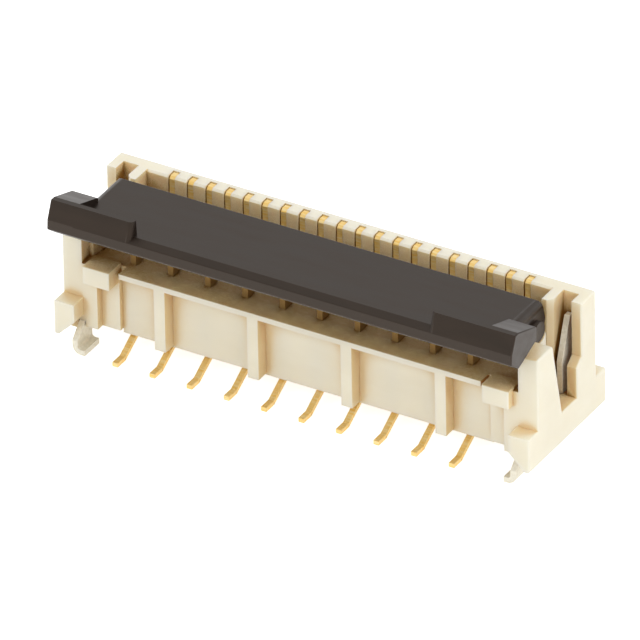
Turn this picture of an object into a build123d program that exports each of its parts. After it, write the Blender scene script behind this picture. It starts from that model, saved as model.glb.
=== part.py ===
from build123d import *
from math import atan2, hypot, tan
import os

# A top-entry connector for a flat flexible cable, in millimetres. X runs along the row of contacts,
# the actuator opens towards -Y, and Z = 0 is the board that the solder soles stand on.

# Contact row and cable
contact_count = 20
pitch = 0.50
contact_thickness = 0.15
cable_thickness = 0.30
fit_gap = 0.02              # play between a pressed-in piece and its slot, on each side
running_gap = 0.03          # play round a turning surface

# Housing body
body_bottom = 0.60
body_height = 3.12
floor_thickness = 0.85      # under the end of the cable
front_wall_height = 1.70
panel_recess = 0.36
front_core = 0.18           # plastic between the recessed panel and the contact hooks
rear_slot_wall = 0.11       # plastic behind the contacts
beam_set_in = 0.03          # contact beams behind the face of the rear wall
end_length = 1.60           # from the last contact to the end of the housing
lead_in = 0.05              # chamfer at the mouth of the cable slot
edge_round = 0.05           # radius of moulded edges
fine_round = 0.03           # radius of the edges of small moulded features

# Front face
rim_height = 0.14
rim_end = 0.08              # rim beyond the last contact
rib_width = 0.29
rib_count = 4
rib_step = 5                # contacts from one rib to the next
rib_drop = 0.08             # ribs reach below the body
step_start = 0.20           # flat step between the panel and the web, from the last contact
step_set_back = 0.22        # behind the front of the ribs
skirt_drop = 0.12           # panel reaches below the body
web_start = 0.68            # flat web between the front face and the post, from the last contact
block_start = 0.22          # proud block from the last contact
block_width = 0.71
block_height = 0.48
block_proud = 0.22
block_rise = 0.08           # block top above the front wall

# Corner feet
foot_drop = 0.10            # below the body
foot_height = 0.89
foot_width = 0.55
foot_reach = 0.45           # beyond the front and rear faces
foot_chamfer = 0.42

# End posts, end slots and rear blocks
post_width = 0.53
post_drop = 0.04            # top of the post below the hinge axis
post_depth = 0.71
post_lean = 0.40            # rear edge of the post, from its top to its foot
end_floor_height = 0.80
rear_block_wall = 0.27      # outer cheek of the rear block
rear_block_depth = 0.66
rear_block_step = 0.24      # lower part of the rear block stands this far forward
step_rise = 0.99            # top of that step above the floor of the end slot
step_height = 0.19
inner_wall = 0.25           # wall between the cable slot and the fitting
inner_wall_gap = 0.11       # open gap between that wall and the fitting
inner_wall_chamfer = 0.12
swing_gap = 0.06            # between the inner wall and the heel of the actuator
notch_back = 0.30           # wall left behind the fitting's notch
bearing_width = 0.10        # half-round bearing on the inner side of the post

# Actuator, measured from its hinge axis while it lies open
hinge_below_top = 0.37      # axis below the top of the housing
barrel_radius = 0.38
stub_radius = 0.25
plate_lift = 0.25           # underside of the plate above the axis
plate_thickness = 0.36
plate_heel = 0.35           # rear edge behind the axis
heel_bulge = 0.14           # rear face swells this far behind the rear edge
heel_rise = 0.03            # middle of the swelling above the axis
heel_round = 0.25
plate_reach = 1.87          # front edge in front of the axis
plate_root = 0.85           # where the plate begins to swell towards its front edge
nose_reach = 0.10           # front edge leans out towards its foot
nose_height = 0.33
nose_chamfer_depth = 0.34
nose_chamfer_height = 0.27
lip_start = 0.78            # finger lip, measured inwards from the last contact
lip_rise = 0.37
lip_set_back = 0.11
lip_thickness = 0.14        # at its top
lip_foot = 0.28             # at its foot
brow_height = 0.25          # upright front edge above the nose
brow_lean = 0.02
brow_slope = 0.12           # top of the plate begins to fall towards the brow
plate_end_round = 0.20      # ends of the plate
lip_round = 0.12            # inner front corner of the lip
tab_width = 0.50            # finger tab beyond the body of the actuator
tab_depth = 1.17
tab_rise = 0.10             # rear top edge of the tab above the plate
tab_thickness = 0.38        # at the rear of the tab
tab_round = 0.07            # rear top edge of the tab
side_play = 0.04            # between the actuator and the bearings

# Contacts
base_drop = 0.20            # base bar below the body of the housing
base_height = 0.50
blade = 0.12                # height of the tail strip
tail_beyond = 0.40          # tip of the sole beyond the body of the housing
tail_inside = 0.68          # turn of the tail inside the faces of the housing
tail_run = 0.42             # level run of the tail before its turn
tail_bend = 0.08            # radius at the two turns of the tail
sole_length = 0.37
front_beam = 0.30
hook_wall = 0.10
hook_gap = 0.05             # tip of the hook below the plate
rear_beam = 0.22
contact_bow = 0.39          # contact point in front of the rear beam
contact_point_drop = 0.90   # contact point below the top of the housing
bow_rise = 0.42             # the bow begins this far above the contact point
tip_drop = 0.02             # tip of the rear beam below the top of the housing
tip_lean = 0.07
barb_height = 0.60
barb_width = 0.22
barb_set_in = 0.43          # middle of the barb in front of the cable

# Fittings
fitting_thickness = 0.15
fitting_set_in = 0.42       # outer face of the sheet from the end of the housing
bar_cover = 0.10            # floor of the end slot above the fitting's bar
strip_drop = 0.54           # top of the strip below the top of the housing
strip_width = 0.25
strip_tip = 0.15
strip_foot = 0.53
strip_knee = 0.90           # where the strip widens, above the bar
leg_reach = 0.35            # leg beyond the front face
leg_width = 0.68
leg_rise = 0.22             # shoulder of the leg above the bottom of the feet
sole_bend = 0.08            # inner radius of the bend
fitting_sole = 0.33

# Places along the row
half_row = (contact_count - 1) * pitch / 2
half_length = half_row + end_length
contact_places = [(i - (contact_count - 1) / 2) * pitch for i in range(contact_count)]
rib_places = [(i - (rib_count - 1) / 2) * rib_step * pitch for i in range(rib_count)]
fitting_outer = half_length - fitting_set_in
fitting_inner = fitting_outer - fitting_thickness
wall_outer = fitting_inner - inner_wall_gap
wall_inner = wall_outer - inner_wall
post_inner = half_length - post_width
bearing_inner = post_inner - bearing_width
actuator_half = bearing_inner - side_play
stub_end = post_inner - fit_gap

# Heights
body_top = body_bottom + body_height
cable_stop = body_bottom + floor_thickness
front_wall_top = body_bottom + front_wall_height
foot_bottom = body_bottom - foot_drop
foot_top = foot_bottom + foot_height
end_floor = foot_bottom + end_floor_height
step_top = end_floor + step_rise
pivot_z = body_top - hinge_below_top
post_top = pivot_z - post_drop
plate_underside = pivot_z + plate_lift
plate_top = plate_underside + plate_thickness
base_bottom = body_bottom - base_drop
base_top = base_bottom + base_height
contact_point_z = body_top - contact_point_drop
fitting_bar_top = end_floor - bar_cover

# Depths: the hinge, the closed plate, the cable and the contacts follow each other from front to rear
hook_radius = barrel_radius + running_gap
axis_to_front = hook_radius + hook_wall + front_core + panel_recess
axis_to_cable = plate_lift + plate_thickness
cable_to_rear = cable_thickness + contact_bow + rear_beam + fit_gap + rear_slot_wall
rear = (axis_to_front + axis_to_cable + cable_to_rear) / 2
front = -rear
panel = front + panel_recess
pivot_y = front + axis_to_front
beam_front = pivot_y - hook_radius - hook_wall
cable_face = pivot_y + axis_to_cable + fit_gap
contact_point = pivot_y + axis_to_cable + cable_thickness
beam_back = rear - rear_slot_wall - fit_gap
rear_face = beam_back - rear_beam - beam_set_in
barb_front = cable_face - barb_set_in - barb_width / 2
plate_rear = pivot_y + plate_heel
plate_front = pivot_y - plate_reach
post_rear = front + post_depth
rear_block_front = rear - rear_block_depth
step_front = rear_block_front - rear_block_step
notch_rear = rear - notch_back
strip_rear = notch_rear - fit_gap
leg_front = front - leg_reach
leg_rear = leg_front + leg_width


def slab(x0, x1, y0, y1, z0, z1):
    """A block between two corners."""
    return Pos((x0 + x1) / 2, (y0 + y1) / 2, (z0 + z1) / 2) * Box(x1 - x0, y1 - y0, z1 - z0)


def outline(*points):
    """A flat shape from corners given as (Y, Z)."""
    return make_face(Polyline(*points, close=True))


def rounded(shape, radius, *corners):
    """A flat shape with the corners at the given points rounded."""
    near = [shape.vertices().sort_by_distance(Vector(*corner))[0] for corner in corners]
    return fillet(near, radius)


def disc(radius):
    """A flat disc on the hinge axis."""
    return Pos(pivot_y, pivot_z) * Circle(radius)


def along_x(shape, x0, x1):
    """A flat (Y, Z) shape drawn out along X."""
    return extrude(Plane.YZ.offset(x0) * shape, x1 - x0)


def both_ends(shape):
    """A piece at the +X end, with its mirror image at the other end."""
    return shape + mirror(shape, about=Plane.YZ)


def soft_face(shape, axis, radius):
    """A solid with the edges of its outermost face along an axis rounded."""
    return fillet(shape.faces().sort_by(axis)[-1].edges(), radius)


def body():
    """The trough: floor, front core, cable slot and rear wall."""
    section = outline(
        (panel, body_bottom),
        (rear, body_bottom),
        (rear, body_top),
        (rear_face + lead_in, body_top),
        (rear_face, body_top - lead_in),
        (rear_face, cable_stop),
        (cable_face, cable_stop),
        (cable_face, front_wall_top),
        (panel, front_wall_top),
    )
    return along_x(section, -wall_outer, wall_outer)


def front_face():
    """Skirt, rim, ribs, steps and flat webs of the recessed panel, and the proud blocks at its ends."""
    rim = half_row + rim_end
    rim_bottom = front_wall_top - rim_height
    shape = slab(-rim, rim, front, panel, rim_bottom, front_wall_top)
    step = half_row + step_start
    shape += slab(-step, step, panel, beam_front - fit_gap, body_bottom - skirt_drop, body_bottom)
    for x in rib_places:
        rib_bottom = body_bottom - rib_drop
        shape += slab(x - rib_width / 2, x + rib_width / 2, front, panel, rib_bottom, front_wall_top)
    web = half_row + web_start
    block = half_row + block_start
    block_top = front_wall_top + block_rise
    end = slab(step, web, front + step_set_back, panel, body_bottom, rim_bottom)
    end += slab(web, post_inner, front, post_rear, body_bottom, front_wall_top)
    block_bottom = block_top - block_height
    proud = slab(block, block + block_width, front - block_proud, panel, block_bottom, block_top)
    end += soft_face(proud, -Axis.Y, fine_round)
    return shape + both_ends(end)


def foot(outer_y, inner_y):
    """One corner foot at the +X end, chamfered to let the fitting's leg past."""
    inner = half_length - foot_width
    face = make_face(Polyline(
        (inner, foot_top),
        (inner, foot_bottom + foot_chamfer),
        (inner + foot_chamfer, foot_bottom),
        (half_length, foot_bottom),
        (half_length, foot_top),
        close=True,
    ))
    return extrude(Plane.XZ.offset(-inner_y) * face, inner_y - outer_y)


def end_block():
    """The +X end: post, end slot, rear block, inner wall, stub bearing and feet."""
    floor = slab(wall_outer, half_length, panel, rear, foot_bottom, end_floor)
    post_side = outline(
        (front, foot_bottom),
        (post_rear + post_lean, foot_bottom),
        (post_rear + post_lean, end_floor),
        (post_rear + post_lean / 2, (end_floor + post_top) / 2),
        (post_rear, post_top),
        (front, post_top),
    )
    post_side = rounded(post_side, edge_round, (front, post_top), (post_rear, post_top))
    post = along_x(post_side, post_inner, half_length)
    rear_side = outline(
        (step_front, end_floor),
        (step_front, step_top - step_height),
        (rear_block_front, step_top),
        (rear_block_front, body_top),
        (rear, body_top),
        (rear, end_floor),
    )
    cheek = along_x(rear_side, half_length - rear_block_wall, half_length)
    back = slab(wall_outer, half_length, notch_rear, rear, end_floor, body_top)
    wall_front = pivot_y + hypot(plate_heel, axis_to_cable) + swing_gap
    wall = slab(wall_inner, wall_outer, wall_front, rear, body_bottom, body_top)
    corner = wall.edges().filter_by(Axis.Z).sort_by_distance(Vector(wall_outer, wall_front))[0]
    wall = chamfer(corner, inner_wall_chamfer)
    bearing = slab(bearing_inner, post_inner, panel, pivot_y + stub_radius, end_floor, post_top)
    bearing -= along_x(disc(stub_radius + running_gap), bearing_inner, half_length)
    feet = foot(front - foot_reach, front) + foot(rear, rear + foot_reach)
    shape = floor + post + cheek + back + feet
    return soft_face(shape, Axis.X, edge_round) + wall + bearing


def contact_slots():
    """The slots that the contacts are pressed into from below."""
    half = contact_thickness / 2 + fit_gap
    slots = []
    for i, x in enumerate(contact_places):
        low = x - half
        high = x + half
        slots.append(slab(low, high, rear_face - fit_gap, beam_back + fit_gap, 0, body_top + lead_in))
        if i % 2 == 0:
            hook_rear = beam_front + front_beam + fit_gap
            slots.append(slab(low, high, beam_front - fit_gap, beam_back, 0, base_top))
            slots.append(slab(low, high, beam_front - fit_gap, hook_rear, 0, body_top))
        else:
            barb_rear = barb_front + barb_width + fit_gap
            slots.append(slab(low, high, barb_front - fit_gap, beam_back, 0, base_top))
            barb_top = base_top + barb_height + fit_gap
            slots.append(slab(low, high, barb_front - fit_gap, barb_rear, 0, barb_top))
    return slots


def fitting_pocket():
    """The slot at the +X end that a fitting is pressed into from below."""
    low = fitting_inner - fit_gap
    high = fitting_outer + fit_gap
    pocket_rear = strip_rear + fit_gap
    bar = outline(
        (front, 0),
        (pocket_rear, 0),
        (pocket_rear, fitting_bar_top),
        (panel, fitting_bar_top),
        (front, foot_bottom + leg_rise + fit_gap),
    )
    strip = slab(low, high, step_front, pocket_rear, 0, body_top + lead_in)
    return along_x(bar, low, high) + strip


def housing():
    """The moulded housing."""
    shape = body() + front_face() + both_ends(end_block())
    shape -= contact_slots()
    shape -= both_ends(fitting_pocket())
    return shape


def contact(front_tail):
    """One stamped contact in the middle of the row, with its solder tail at the front or at the rear."""
    base_front = beam_front if front_tail else barb_front
    sketch = outline(
        (base_front, base_bottom),
        (beam_back, base_bottom),
        (beam_back, base_top),
        (base_front, base_top),
    )
    tip = body_top - tip_drop
    face = beam_back - rear_beam
    sketch += outline(
        (beam_back, base_bottom),
        (beam_back, tip),
        (face + tip_lean, tip),
        (face, tip - tip_lean),
        (face, contact_point_z + bow_rise),
        (contact_point, contact_point_z + blade / 2),
        (contact_point, contact_point_z - blade / 2),
        (face, cable_stop),
        (face, base_bottom),
    )
    if front_tail:
        beam_rear = beam_front + front_beam
        sketch += outline(
            (beam_front, base_bottom),
            (beam_rear, base_bottom),
            (beam_rear, plate_underside - hook_gap),
            (beam_front, plate_underside - hook_gap),
        )
        sketch -= disc(hook_radius)
    else:
        sketch += outline(
            (barb_front, base_bottom),
            (barb_front + barb_width, base_bottom),
            (barb_front + barb_width, base_top + barb_height),
            (barb_front, base_top + barb_height),
        )
    sketch += solder_tail(-1 if front_tail else 1)
    return extrude(Plane.YZ * sketch, contact_thickness / 2, both=True)


def solder_tail(side):
    """The side view of a tail: a level run, a slope down to the board and a flat sole."""
    tip = rear + tail_beyond
    root = rear - tail_inside
    knee = tip - sole_length
    mitre = blade * tan(atan2(base_bottom, knee - root) / 2)
    turns = [
        (side * knee, 0),
        (side * root, base_bottom),
        (side * (root + mitre), base_bottom + blade),
        (side * (knee + mitre), blade),
    ]
    tail = outline(
        (side * tip, 0),
        *turns[:2],
        (side * (root - tail_run), base_bottom),
        (side * (root - tail_run), base_bottom + blade),
        *turns[2:],
        (side * tip, blade),
    )
    return rounded(tail, tail_bend, *turns)


def fitting():
    """The +X hold-down fitting: a pressed sheet with a strip up the end slot and a bent solder sole."""
    bend_outer = sole_bend + fitting_thickness
    strip_top = body_top - strip_drop
    shoulder = foot_bottom + leg_rise
    sheet = outline(
        (strip_rear, foot_bottom),
        (strip_rear, strip_top),
        (strip_rear - strip_tip, strip_top),
        (strip_rear - strip_width, strip_top - strip_width),
        (strip_rear - strip_foot, fitting_bar_top + strip_knee),
        (strip_rear - strip_foot, fitting_bar_top),
        (panel, fitting_bar_top),
        (front, shoulder),
        (leg_front, shoulder - leg_reach),
        (leg_front, bend_outer),
        (leg_rear, bend_outer),
        (leg_rear, foot_bottom),
    )
    shape = along_x(sheet, fitting_inner, fitting_outer)
    centre = Location((fitting_inner - sole_bend, 0, bend_outer))
    ring = Circle(bend_outer) - Circle(sole_bend)
    quarter = ring & Pos(bend_outer / 2, bend_outer / 2) * Rectangle(bend_outer, bend_outer)
    bend = extrude(Plane.XZ * Rot(0, 0, -90) * quarter, leg_width)
    shape += Pos(0, leg_rear, 0) * centre * bend
    sole_inner = fitting_outer - fitting_sole
    shape += slab(sole_inner, fitting_inner - sole_bend, leg_front, leg_rear, 0, fitting_thickness)
    return shape


def actuator():
    """The flip lever: barrel, plate, finger lips, tabs and pivot stubs."""
    nose = (plate_front - nose_reach, plate_top - nose_height)
    chin = (nose[0] + nose_chamfer_depth, nose[1] - nose_chamfer_height)
    heel = (plate_rear + heel_bulge, pivot_z + heel_rise)
    brow = (nose[0] + brow_lean, nose[1] + brow_height)
    plate = outline(
        (plate_front + brow_slope, plate_top),
        brow,
        nose,
        chin,
        (pivot_y - plate_root, plate_underside),
        (pivot_y, plate_underside),
        (pivot_y, pivot_z - stub_radius),
        (pivot_y + stub_radius, pivot_z - stub_radius),
        heel,
        (plate_rear, plate_top),
    )
    plate = rounded(plate, heel_round, heel)
    plate = rounded(plate, edge_round, (plate_rear, plate_top), nose, chin)
    plate = rounded(plate, fine_round, brow)
    shape = along_x(plate + disc(barrel_radius), -actuator_half, actuator_half)
    barrel_bottom = pivot_z - barrel_radius
    top_corners = [(actuator_half, plate_top), (-actuator_half, plate_top)]
    end_view = make_face(Polyline(
        (-actuator_half, barrel_bottom),
        (actuator_half, barrel_bottom),
        *top_corners,
        close=True,
    ))
    end_view = rounded(end_view, plate_end_round, *top_corners)
    shape &= extrude(Plane.XZ * end_view, 2 * plate_reach, both=True)
    lip_front = (plate_front + lip_set_back, plate_top + lip_rise)
    lip_back = (lip_front[0] + lip_thickness, lip_front[1])
    valley = (plate_front + lip_foot, plate_top)
    lip_inner = half_row - lip_start
    lip = outline(lip_front, lip_back, valley, (valley[0], brow[1]), brow)
    lip = along_x(lip, lip_inner, actuator_half)
    corner = Vector(lip_inner, (brow[0] + lip_front[0]) / 2, (brow[1] + lip_front[1]) / 2)
    lip = fillet(lip.edges().sort_by_distance(corner)[0], lip_round)
    tab_rear = nose[0] + tab_depth
    tab_top = plate_top + tab_rise
    tab_corners = [(tab_rear, tab_top), (tab_rear, tab_top - tab_thickness)]
    tab = outline(lip_front, lip_back, *tab_corners, chin, nose, brow)
    tab = rounded(tab, tab_round, tab_corners[0])
    tab = rounded(tab, edge_round, tab_corners[1], chin, nose)
    tab = along_x(tab, actuator_half - plate_end_round, actuator_half + tab_width)
    tab = soft_face(tab, Axis.X, fine_round)
    stub = along_x(disc(stub_radius), actuator_half - tab_width, stub_end)
    return shape + both_ends(lip + tab + stub)


def write(shape, node):
    """Writes one piece and says how large it is."""
    size = shape.bounding_box().size
    print(f"{node}: {len(shape.solids())} solid, {shape.volume:.3f} mm3")
    print(f"  {size.X:.2f} x {size.Y:.2f} x {size.Z:.2f} mm")
    export_step(shape, f"parts/{node}.step")


os.makedirs("parts", exist_ok=True)
write(housing(), "housing")
write(actuator(), "actuator")
right_fitting = fitting()
write(right_fitting, "fitting_right")
write(mirror(right_fitting, about=Plane.YZ), "fitting_left")
for i, x in enumerate(contact_places):
    write(Pos(x, 0, 0) * contact(i % 2 == 0), f"contact_{i + 1:02d}")
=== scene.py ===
# %% [markdown]
# # A flip-lock connector for a flat flexible cable
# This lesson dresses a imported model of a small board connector: an ivory moulded housing with a row of
# gold-plated contacts, a dark actuator that turns upright to clamp the cable, and two tin-plated fittings
# that are soldered to the board. The model is loaded as a fixed frame, in metres, and every step below
# only adds finishes, soft edges, light and a camera.

# %% Load the model
from math import cos, pi, radians, sin
import bpy
from mathutils import Matrix, Vector


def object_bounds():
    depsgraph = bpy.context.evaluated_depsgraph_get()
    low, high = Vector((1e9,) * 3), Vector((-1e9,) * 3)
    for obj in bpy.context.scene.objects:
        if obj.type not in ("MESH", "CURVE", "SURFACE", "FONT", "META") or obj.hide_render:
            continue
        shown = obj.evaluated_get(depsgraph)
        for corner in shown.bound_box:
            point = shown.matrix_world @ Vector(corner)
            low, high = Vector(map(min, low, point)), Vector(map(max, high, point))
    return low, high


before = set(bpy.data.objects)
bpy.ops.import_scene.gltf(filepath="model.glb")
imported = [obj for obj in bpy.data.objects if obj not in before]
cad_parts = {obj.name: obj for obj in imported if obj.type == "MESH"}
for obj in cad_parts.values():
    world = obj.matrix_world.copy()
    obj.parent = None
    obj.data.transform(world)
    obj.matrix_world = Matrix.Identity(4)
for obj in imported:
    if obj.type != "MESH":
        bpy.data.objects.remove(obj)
cad_low, cad_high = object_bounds()
MM = 0.001
print("model", [round(side / MM, 2) for side in cad_high - cad_low], "mm")

# %% [markdown]
# ## Camera
# The connector is seen from its front right, from well above the board, through a long lens, so that the
# lines along the row stay nearly parallel. A camera can be aimed by eye, but here its angles, distance and
# scale are given as numbers, because they set every edge in the picture at once.

# %% Camera at the viewing angle
AZIMUTH = radians(30.80)
ELEVATION = radians(32.14)
ROLL = radians(-1.12)
DISTANCE = 404.5 * MM
AIM = Vector((0, 0, 2.1 * MM))
AIM_RIGHT = 0.190 * MM
AIM_UP = 0.2855 * MM
SENSOR = 36.0
IMAGE_WIDTH = 640
PIXELS_PER_MM = 43.288

back = Vector((sin(AZIMUTH) * cos(ELEVATION), -cos(AZIMUTH) * cos(ELEVATION), sin(ELEVATION)))
level = Vector((cos(AZIMUTH), sin(AZIMUTH), 0))
upright = back.cross(level)
right = level * cos(ROLL) + upright * sin(ROLL)
up = upright * cos(ROLL) - level * sin(ROLL)
view_width = IMAGE_WIDTH / PIXELS_PER_MM * MM
lens = bpy.data.cameras.new("camera")
lens.sensor_width = SENSOR
lens.lens = SENSOR * DISTANCE / view_width
camera = bpy.data.objects.new("camera", lens)
stand = AIM + back * DISTANCE - right * AIM_RIGHT - up * AIM_UP
camera.matrix_world = Matrix.Translation(stand) @ Matrix((right, up, back)).transposed().to_4x4()
bpy.context.collection.objects.link(camera)
bpy.context.scene.camera = camera
print("lens", round(lens.lens), "mm, picture", round(view_width / MM, 1), "mm wide")

# %% [markdown]
# ## Colours and nodes
# Colours are noted as sRGB hex values, the way a colour picker gives them, and shaders want linear light,
# so one function converts them. Another small function adds a node, sets its fields and joins its inputs,
# which keeps each material short enough to read. Patterns are given by their size in millimetres.

# %% Colour and node helpers
def linear(code):
    """The linear colour of an sRGB hex value."""
    parts = [int(code[i:i + 2], 16) / 255 for i in (1, 3, 5)]
    light = [p / 12.92 if p <= 0.04045 else ((p + 0.055) / 1.055) ** 2.4 for p in parts]
    return (*light, 1.0)


def add(tree, kind, inputs=None, stops=(), **fields):
    """Adds a node, sets its fields and colour stops, and sets or links its inputs."""
    node = tree.nodes.new(kind)
    for name, value in fields.items():
        setattr(node, name, value)
    for i, (position, code) in enumerate(stops):
        steps = node.color_ramp.elements
        step = steps[i] if i < len(steps) else steps.new(position)
        step.position = position
        step.color = linear(code)
    for name, value in (inputs or {}).items():
        if isinstance(value, bpy.types.NodeSocket):
            tree.links.new(value, node.inputs[name])
        else:
            node.inputs[name].default_value = value
    return node


def start_material(name):
    """An empty node material, with its tree."""
    material = bpy.data.materials.new(name)
    material.use_nodes = True
    material.node_tree.nodes.clear()
    return material, material.node_tree


def per_metre(size_mm):
    """The texture scale that gives a pattern of this size."""
    return 1 / (size_mm * MM)


print("ivory in linear light", [round(part, 3) for part in linear("#F5EEDA")])

# %% [markdown]
# ## Dressing a piece
# A moulded or stamped piece has no razor edge: a narrow round along each edge catches the light. It could
# be modelled, but a Bevel modifier rounds every sharp edge at once and leaves the mesh as it was packed.
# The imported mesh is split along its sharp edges, where a Bevel finds nothing to round, so a Weld modifier
# joins the faces first. The housing has many steps finer than any round that would show, so its edges
# stay as they are, which is what an edge width of zero says.

# %% Material and soft edges
JOIN_GAP = 0.0005 * MM
SHARP_EDGE = radians(40)
ROUND_STEPS = 2


def dress(material, edge_mm, *names):
    """Gives the named pieces one material and, unless the width is zero, soft edges of that width."""
    for name in names:
        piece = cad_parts[name]
        piece.data.materials.clear()
        piece.data.materials.append(material)
        if edge_mm:
            joined = piece.modifiers.new("joined_faces", "WELD")
            joined.merge_threshold = JOIN_GAP
            soft = piece.modifiers.new("soft_edges", "BEVEL")
            soft.width = edge_mm * MM
            soft.segments = ROUND_STEPS
            soft.limit_method = "ANGLE"
            soft.angle_limit = SHARP_EDGE
            soft.use_clamp_overlap = True
    print(material.name, "on", ", ".join(names))

# %% [markdown]
# ## Housing: ivory liquid-crystal polymer
# The housing is injection moulded in a glass-filled liquid-crystal polymer. It is a warm ivory, slightly
# translucent and silky rather than glossy. Light that bounces about in its narrow recesses is tinted again
# at every bounce, so the corners turn from cream to amber. The renderer's own bounces show that only
# faintly, so an Ambient Occlusion node measures how far nearby walls and the actuator above close a point
# in, and a ramp paints shade into the ivory by it. The shade is amber in the recesses, dark brown at the
# rear of the ledge under the actuator, and lighter again at the ledge's front. A little light is also let
# through the surface, as in the real plastic.

# %% Ivory housing material
FLOW_MARK_MM = 0.8
MOULD_GRAIN_MM = 0.05
WALL_REACH_MM = 2.0
SCATTER_MM = 0.26
# Painted shade and painted light, set by how closed in a point is, from nearly shut to open, and about
# where on the housing each is met
PAINTED_SHADE_STEPS = (
    (0.16, "#A87A3C"),   # deepest corners
    (0.235, "#80602E"),  # rear of the ledge under the actuator
    (0.275, "#D8BE7C"),  # middle of that ledge
    (0.31, "#FFF6DC"),   # front of that ledge
    (0.42, "#DCB078"),   # walls of the contact slot
    (0.46, "#FCF4E0"),   # towards the sides of the ribs
    (0.61, "#F0DAB4"),   # tops of the feet
    (0.76, "#FFFFFF"),   # open faces
)


def ivory_polymer():
    """Silky and warm, with faint clouds, painted warm brown shade in its recesses and under the actuator,
    and edges that glow a little.
    """
    material, tree = start_material("ivory_liquid_crystal_polymer")
    place = add(tree, "ShaderNodeTexCoord").outputs["Object"]
    # Flow marks of the melt: faint clouds, drawn out along the row
    stretched = add(tree, "ShaderNodeMapping", {"Vector": place, "Scale": (0.35, 1.0, 1.0)})
    flow = add(tree, "ShaderNodeTexNoise", {
        "Vector": stretched.outputs["Vector"],
        "Scale": per_metre(FLOW_MARK_MM),
        "Detail": 3.0,
        "Roughness": 0.5,
    })
    clouds = add(tree, "ShaderNodeValToRGB", {"Fac": flow.outputs["Fac"]},
                 stops=((0.3, "#F0E8D2"), (0.7, "#F5EEDA")))
    # Painted shade: the ramp darkens and browns the ivory where nearby walls and the actuator above close a
    # point in
    closed_in = add(tree, "ShaderNodeAmbientOcclusion", {"Distance": WALL_REACH_MM * MM}, samples=16)
    painted_shade = add(tree, "ShaderNodeValToRGB", {"Fac": closed_in.outputs["AO"]}, stops=PAINTED_SHADE_STEPS)
    colour = add(tree, "ShaderNodeMix", {
        "Factor": 1.0, "A": clouds.outputs["Color"], "B": painted_shade.outputs["Color"]},
        data_type="RGBA", blend_type="MULTIPLY")
    # The spark-eroded finish of the mould is finer than this, and is drawn coarser so that it shows
    grain = add(tree, "ShaderNodeTexNoise", {
        "Vector": place, "Scale": per_metre(MOULD_GRAIN_MM), "Detail": 2.0})
    bump = add(tree, "ShaderNodeBump", {
        "Height": grain.outputs["Fac"], "Strength": 0.25, "Distance": 0.004 * MM})
    shader = add(tree, "ShaderNodeBsdfPrincipled", {
        "Base Color": colour.outputs["Result"],
        "Roughness": 0.5,
        "IOR": 1.5,
        "Subsurface Weight": 0.7,
        "Subsurface Radius": (1.0, 1.0, 0.9),
        "Subsurface Scale": SCATTER_MM * MM,
        "Normal": bump.outputs["Normal"],
    })
    add(tree, "ShaderNodeOutputMaterial", {"Surface": shader.outputs["BSDF"]})
    return material


dress(ivory_polymer(), 0, "housing")

# %% [markdown]
# ## Actuator: dark filled polymer
# The flip actuator is moulded in a dark brown glass-filled polymer. Its flat top looks lighter than its
# front only because it mirrors more of the bright room at that angle. A lighter colour on the top would
# look painted from any other side, so the base colour is kept dark all over and the sheen does the rest.
# Faint streaks along the row show how the melt ran.

# %% Dark actuator material
STREAK_MM = 0.3
DARK_GRAIN_MM = 0.06
ACTUATOR_EDGE_MM = 0.02


def dark_filled_polymer():
    """Nearly black, with a warm satin sheen that varies a little along the streaks."""
    material, tree = start_material("dark_glass_filled_polymer")
    place = add(tree, "ShaderNodeTexCoord").outputs["Object"]
    stretched = add(tree, "ShaderNodeMapping", {"Vector": place, "Scale": (0.2, 1.0, 1.0)})
    streaks = add(tree, "ShaderNodeTexNoise", {
        "Vector": stretched.outputs["Vector"], "Scale": per_metre(STREAK_MM), "Detail": 4.0})
    tones = add(tree, "ShaderNodeValToRGB", {"Fac": streaks.outputs["Fac"]},
                stops=((0.3, "#120A06"), (0.7, "#1D130D")))
    # The grain of the mould is drawn coarser than it is, so that it shows
    grain = add(tree, "ShaderNodeTexNoise", {
        "Vector": place, "Scale": per_metre(DARK_GRAIN_MM), "Detail": 3.0})
    bump = add(tree, "ShaderNodeBump", {
        "Height": grain.outputs["Fac"], "Strength": 0.2, "Distance": 0.004 * MM})
    sheen = add(tree, "ShaderNodeMapRange", {
        "Value": streaks.outputs["Fac"],
        "From Min": 0.3,
        "From Max": 0.7,
        "To Min": 0.30,
        "To Max": 0.42,
    })
    shader = add(tree, "ShaderNodeBsdfPrincipled", {
        "Base Color": tones.outputs["Color"],
        "Roughness": sheen.outputs["Result"],
        "IOR": 1.5,
        "Specular IOR Level": 0.5,
        "Specular Tint": linear("#FFEBD8"),
        "Normal": bump.outputs["Normal"],
    })
    add(tree, "ShaderNodeOutputMaterial", {"Surface": shader.outputs["BSDF"]})
    return material


dress(dark_filled_polymer(), ACTUATOR_EDGE_MM, "actuator")

# %% [markdown]
# ## Contacts: gold-plated phosphor bronze
# Each contact is stamped from bronze sheet and gold plated. Its hook, which holds the actuator, lies in
# deep shade under the actuator, and that shade is painted into its colour as a darker brown. Two materials
# could split a contact in two, but one material that reads the height and the depth of a point gives the
# painted shade a soft border. The cut edges carry fine drag lines from the punch, which break the
# reflection into a satin sheen.

# %% Gold contact material
DRAG_LINE_MM = 0.04
HOOK_LOW = 2.0 * MM
HOOK_HIGH = 2.3 * MM
HOOK_REAR = 0.2 * MM
HOOK_FRONT = -0.1 * MM
CONTACT_EDGE_MM = 0.012


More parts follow.
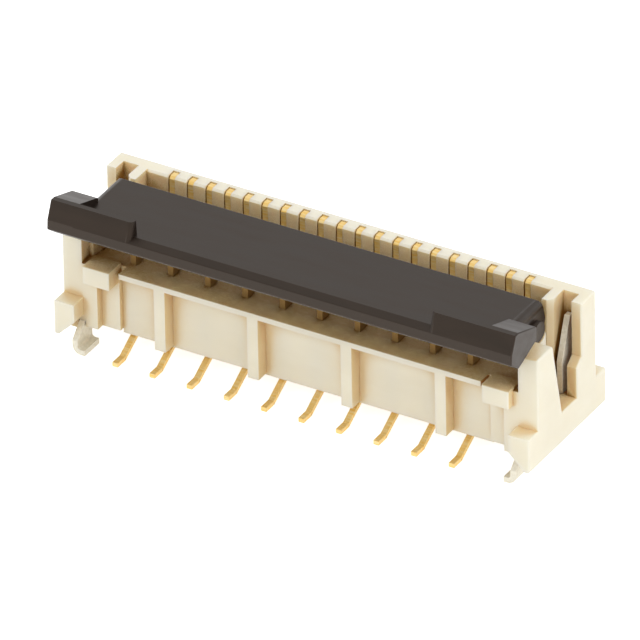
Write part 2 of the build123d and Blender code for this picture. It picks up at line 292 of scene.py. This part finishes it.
def gold_plate():
    """Pale satin gold, with painted darker brown shade on the hooks under the actuator."""
    material, tree = start_material("gold_plated_phosphor_bronze")
    place = add(tree, "ShaderNodeTexCoord").outputs["Object"]
    # Drag lines across the thickness of the sheet, drawn coarser than they are so that they show
    drawn = add(tree, "ShaderNodeMapping", {"Vector": place, "Scale": (0.1, 1.0, 1.0)})
    drag = add(tree, "ShaderNodeTexNoise", {
        "Vector": drawn.outputs["Vector"], "Scale": per_metre(DRAG_LINE_MM), "Detail": 2.0})
    gold = add(tree, "ShaderNodeValToRGB", {"Fac": drag.outputs["Fac"]},
               stops=((0.3, "#F4C868"), (0.7, "#FBE2A4")))
    # Painted shade where a point is both high up and towards the front, which is where the hooks sit under
    # the actuator
    axes = add(tree, "ShaderNodeSeparateXYZ", {"Vector": place})
    high = add(tree, "ShaderNodeMapRange", {
        "Value": axes.outputs["Z"], "From Min": HOOK_LOW, "From Max": HOOK_HIGH})
    forward = add(tree, "ShaderNodeMapRange", {
        "Value": axes.outputs["Y"], "From Min": HOOK_REAR, "From Max": HOOK_FRONT})
    hook_shade = add(tree, "ShaderNodeMath", {0: high.outputs["Result"], 1: forward.outputs["Result"]},
               operation="MULTIPLY")
    # Painted shade: the gold turns to a darker brown on the hooks
    tones = add(tree, "ShaderNodeMix", {
        "Factor": hook_shade.outputs["Value"], "A": gold.outputs["Color"], "B": linear("#A88650")},
        data_type="RGBA")
    bump = add(tree, "ShaderNodeBump", {
        "Height": drag.outputs["Fac"], "Strength": 0.3, "Distance": 0.003 * MM})
    # A full metal would mirror the dark slot and turn brown, while the rough plating stays yellow there
    shader = add(tree, "ShaderNodeBsdfPrincipled", {
        "Base Color": tones.outputs["Result"],
        "Metallic": 0.5,
        "Roughness": 0.45,
        "Normal": bump.outputs["Normal"],
    })
    add(tree, "ShaderNodeOutputMaterial", {"Surface": shader.outputs["BSDF"]})
    return material


contacts = sorted(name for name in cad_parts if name.startswith("contact_"))
dress(gold_plate(), CONTACT_EDGE_MM, *contacts)

# %% [markdown]
# ## Fittings: tin-plated copper alloy
# The two hold-down fittings at the ends are pressed from sheet and plated with matt tin, a warm grey that
# scatters light almost as paint does. A polished metal shader would mirror the dark pocket around it, so
# the metal share is low and a fine grain keeps the reflection soft.

# %% Tin fitting material
TIN_GRAIN_MM = 0.07
FITTING_EDGE_MM = 0.015


def matt_tin():
    """Warm light grey, with a soft and slightly grainy reflection."""
    material, tree = start_material("matt_tin_plate")
    place = add(tree, "ShaderNodeTexCoord").outputs["Object"]
    # The crystals of the plating are drawn coarser than they are, so that they show
    grains = add(tree, "ShaderNodeTexNoise", {
        "Vector": place, "Scale": per_metre(TIN_GRAIN_MM), "Detail": 3.0})
    tones = add(tree, "ShaderNodeValToRGB", {"Fac": grains.outputs["Fac"]},
                stops=((0.3, "#E4DECA"), (0.7, "#F4EFDE")))
    bump = add(tree, "ShaderNodeBump", {
        "Height": grains.outputs["Fac"], "Strength": 0.3, "Distance": 0.004 * MM})
    shader = add(tree, "ShaderNodeBsdfPrincipled", {
        "Base Color": tones.outputs["Color"],
        "Metallic": 0.2,
        "Roughness": 0.4,
        "Normal": bump.outputs["Normal"],
    })
    add(tree, "ShaderNodeOutputMaterial", {"Surface": shader.outputs["BSDF"]})
    return material


dress(matt_tin(), FITTING_EDGE_MM, "fitting_left", "fitting_right")

# %% [markdown]
# ## Table
# The connector stands on a white table in a white tent, which is how such small parts are photographed:
# light comes evenly from every side and the shadows are faint. A brighter lamp could make the table white,
# but it would bleach the object too. So the table has a glow of its own that only the camera and
# reflections see, and the light that it throws on the object is that of a plain white card.

# %% White table
TABLE_HALF = 300 * MM
TABLE_GLOW = 0.75


def seen_directly(tree):
    """One for rays from the camera and for mirrored or transmitted rays, and zero for all others."""
    path = add(tree, "ShaderNodeLightPath").outputs
    seen = add(tree, "ShaderNodeMath", {0: path["Is Camera Ray"], 1: path["Is Glossy Ray"]},
               operation="MAXIMUM")
    seen = add(tree, "ShaderNodeMath", {0: seen.outputs["Value"], 1: path["Is Transmission Ray"]},
               operation="MAXIMUM")
    return seen.outputs["Value"]


table_mesh = bpy.data.meshes.new("table")
corners = [(x * TABLE_HALF, y * TABLE_HALF, cad_low.z) for x, y in ((-1, -1), (1, -1), (1, 1), (-1, 1))]
table_mesh.from_pydata(corners, [], [(0, 1, 2, 3)])
table = bpy.data.objects.new("table", table_mesh)
# The table casts no shadow, so the housing's Ambient Occlusion doesn't take it for a wall
table.visible_shadow = False
bpy.context.collection.objects.link(table)

table_white, tree = start_material("white_table")
paper = add(tree, "ShaderNodeBsdfDiffuse", {"Color": linear("#F4F4F4")})
glow = add(tree, "ShaderNodeEmission", {"Color": linear("#FFFFFF"), "Strength": TABLE_GLOW})
bright = add(tree, "ShaderNodeAddShader", {0: paper.outputs["BSDF"], 1: glow.outputs["Emission"]})
surface = add(tree, "ShaderNodeMixShader", {
    0: seen_directly(tree), 1: paper.outputs["BSDF"], 2: bright.outputs["Shader"]})
add(tree, "ShaderNodeOutputMaterial", {"Surface": surface.outputs["Shader"]})
table_mesh.materials.append(table_white)
print("table at", round(cad_low.z / MM, 3), "mm")

# %% [markdown]
# ## Room
# The tent is a plain white world. It looks white to the camera and in reflections, and lights the object
# at a lower level, which leaves room for the two lamps without bleaching the ivory.

# %% White tent
ROOM_LIGHT = 0.72

world = bpy.data.worlds.new("white_tent")
bpy.context.scene.world = world
world.use_nodes = True
tree = world.node_tree
tree.nodes.clear()
strength = add(tree, "ShaderNodeMapRange", {
    "Value": seen_directly(tree), "To Min": ROOM_LIGHT, "To Max": 1.0})
room = add(tree, "ShaderNodeBackground", {
    "Color": linear("#FFFFFF"), "Strength": strength.outputs["Result"]})
add(tree, "ShaderNodeOutputWorld", {"Surface": room.outputs["Background"]})
print("room light", ROOM_LIGHT)

# %% [markdown]
# ## Lamps
# A large soft lamp stands to the right and above, so the end of the housing and its top are the brightest
# faces. A smaller one stands low in front and reaches under the open actuator. Shiny faces mirror only the
# even tent, so the lamps are kept out of reflections.

# %% Soft lamps
LAMP_DISTANCE = 300 * MM


def soft_lamp(name, direction, size, share):
    """A square lamp that lights a facing surface to this share of its own colour."""
    light = bpy.data.lights.new(name, "AREA")
    light.size = size
    # A lamp of power P lights a facing matt surface to P / (pi * distance) ** 2 of its colour
    light.energy = share * (pi * LAMP_DISTANCE) ** 2
    lamp = bpy.data.objects.new(name, light)
    towards = Vector(direction).normalized()
    lamp.location = AIM + towards * LAMP_DISTANCE
    lamp.rotation_mode = "QUATERNION"
    lamp.rotation_quaternion = towards.to_track_quat("Z", "Y")
    lamp.visible_glossy = False
    bpy.context.collection.objects.link(lamp)
    print(name, round(light.energy, 3), "W")


soft_lamp("side_lamp", direction=(1.0, -0.1, 0.9), size=200 * MM, share=0.32)
soft_lamp("front_lamp", direction=(-0.2, -1.0, 0.66), size=160 * MM, share=0.17)

# %% [markdown]
# ## Picture settings
# The Standard view keeps colours as they are written.

# %% Finish
bpy.context.scene.view_settings.view_transform = "Standard"
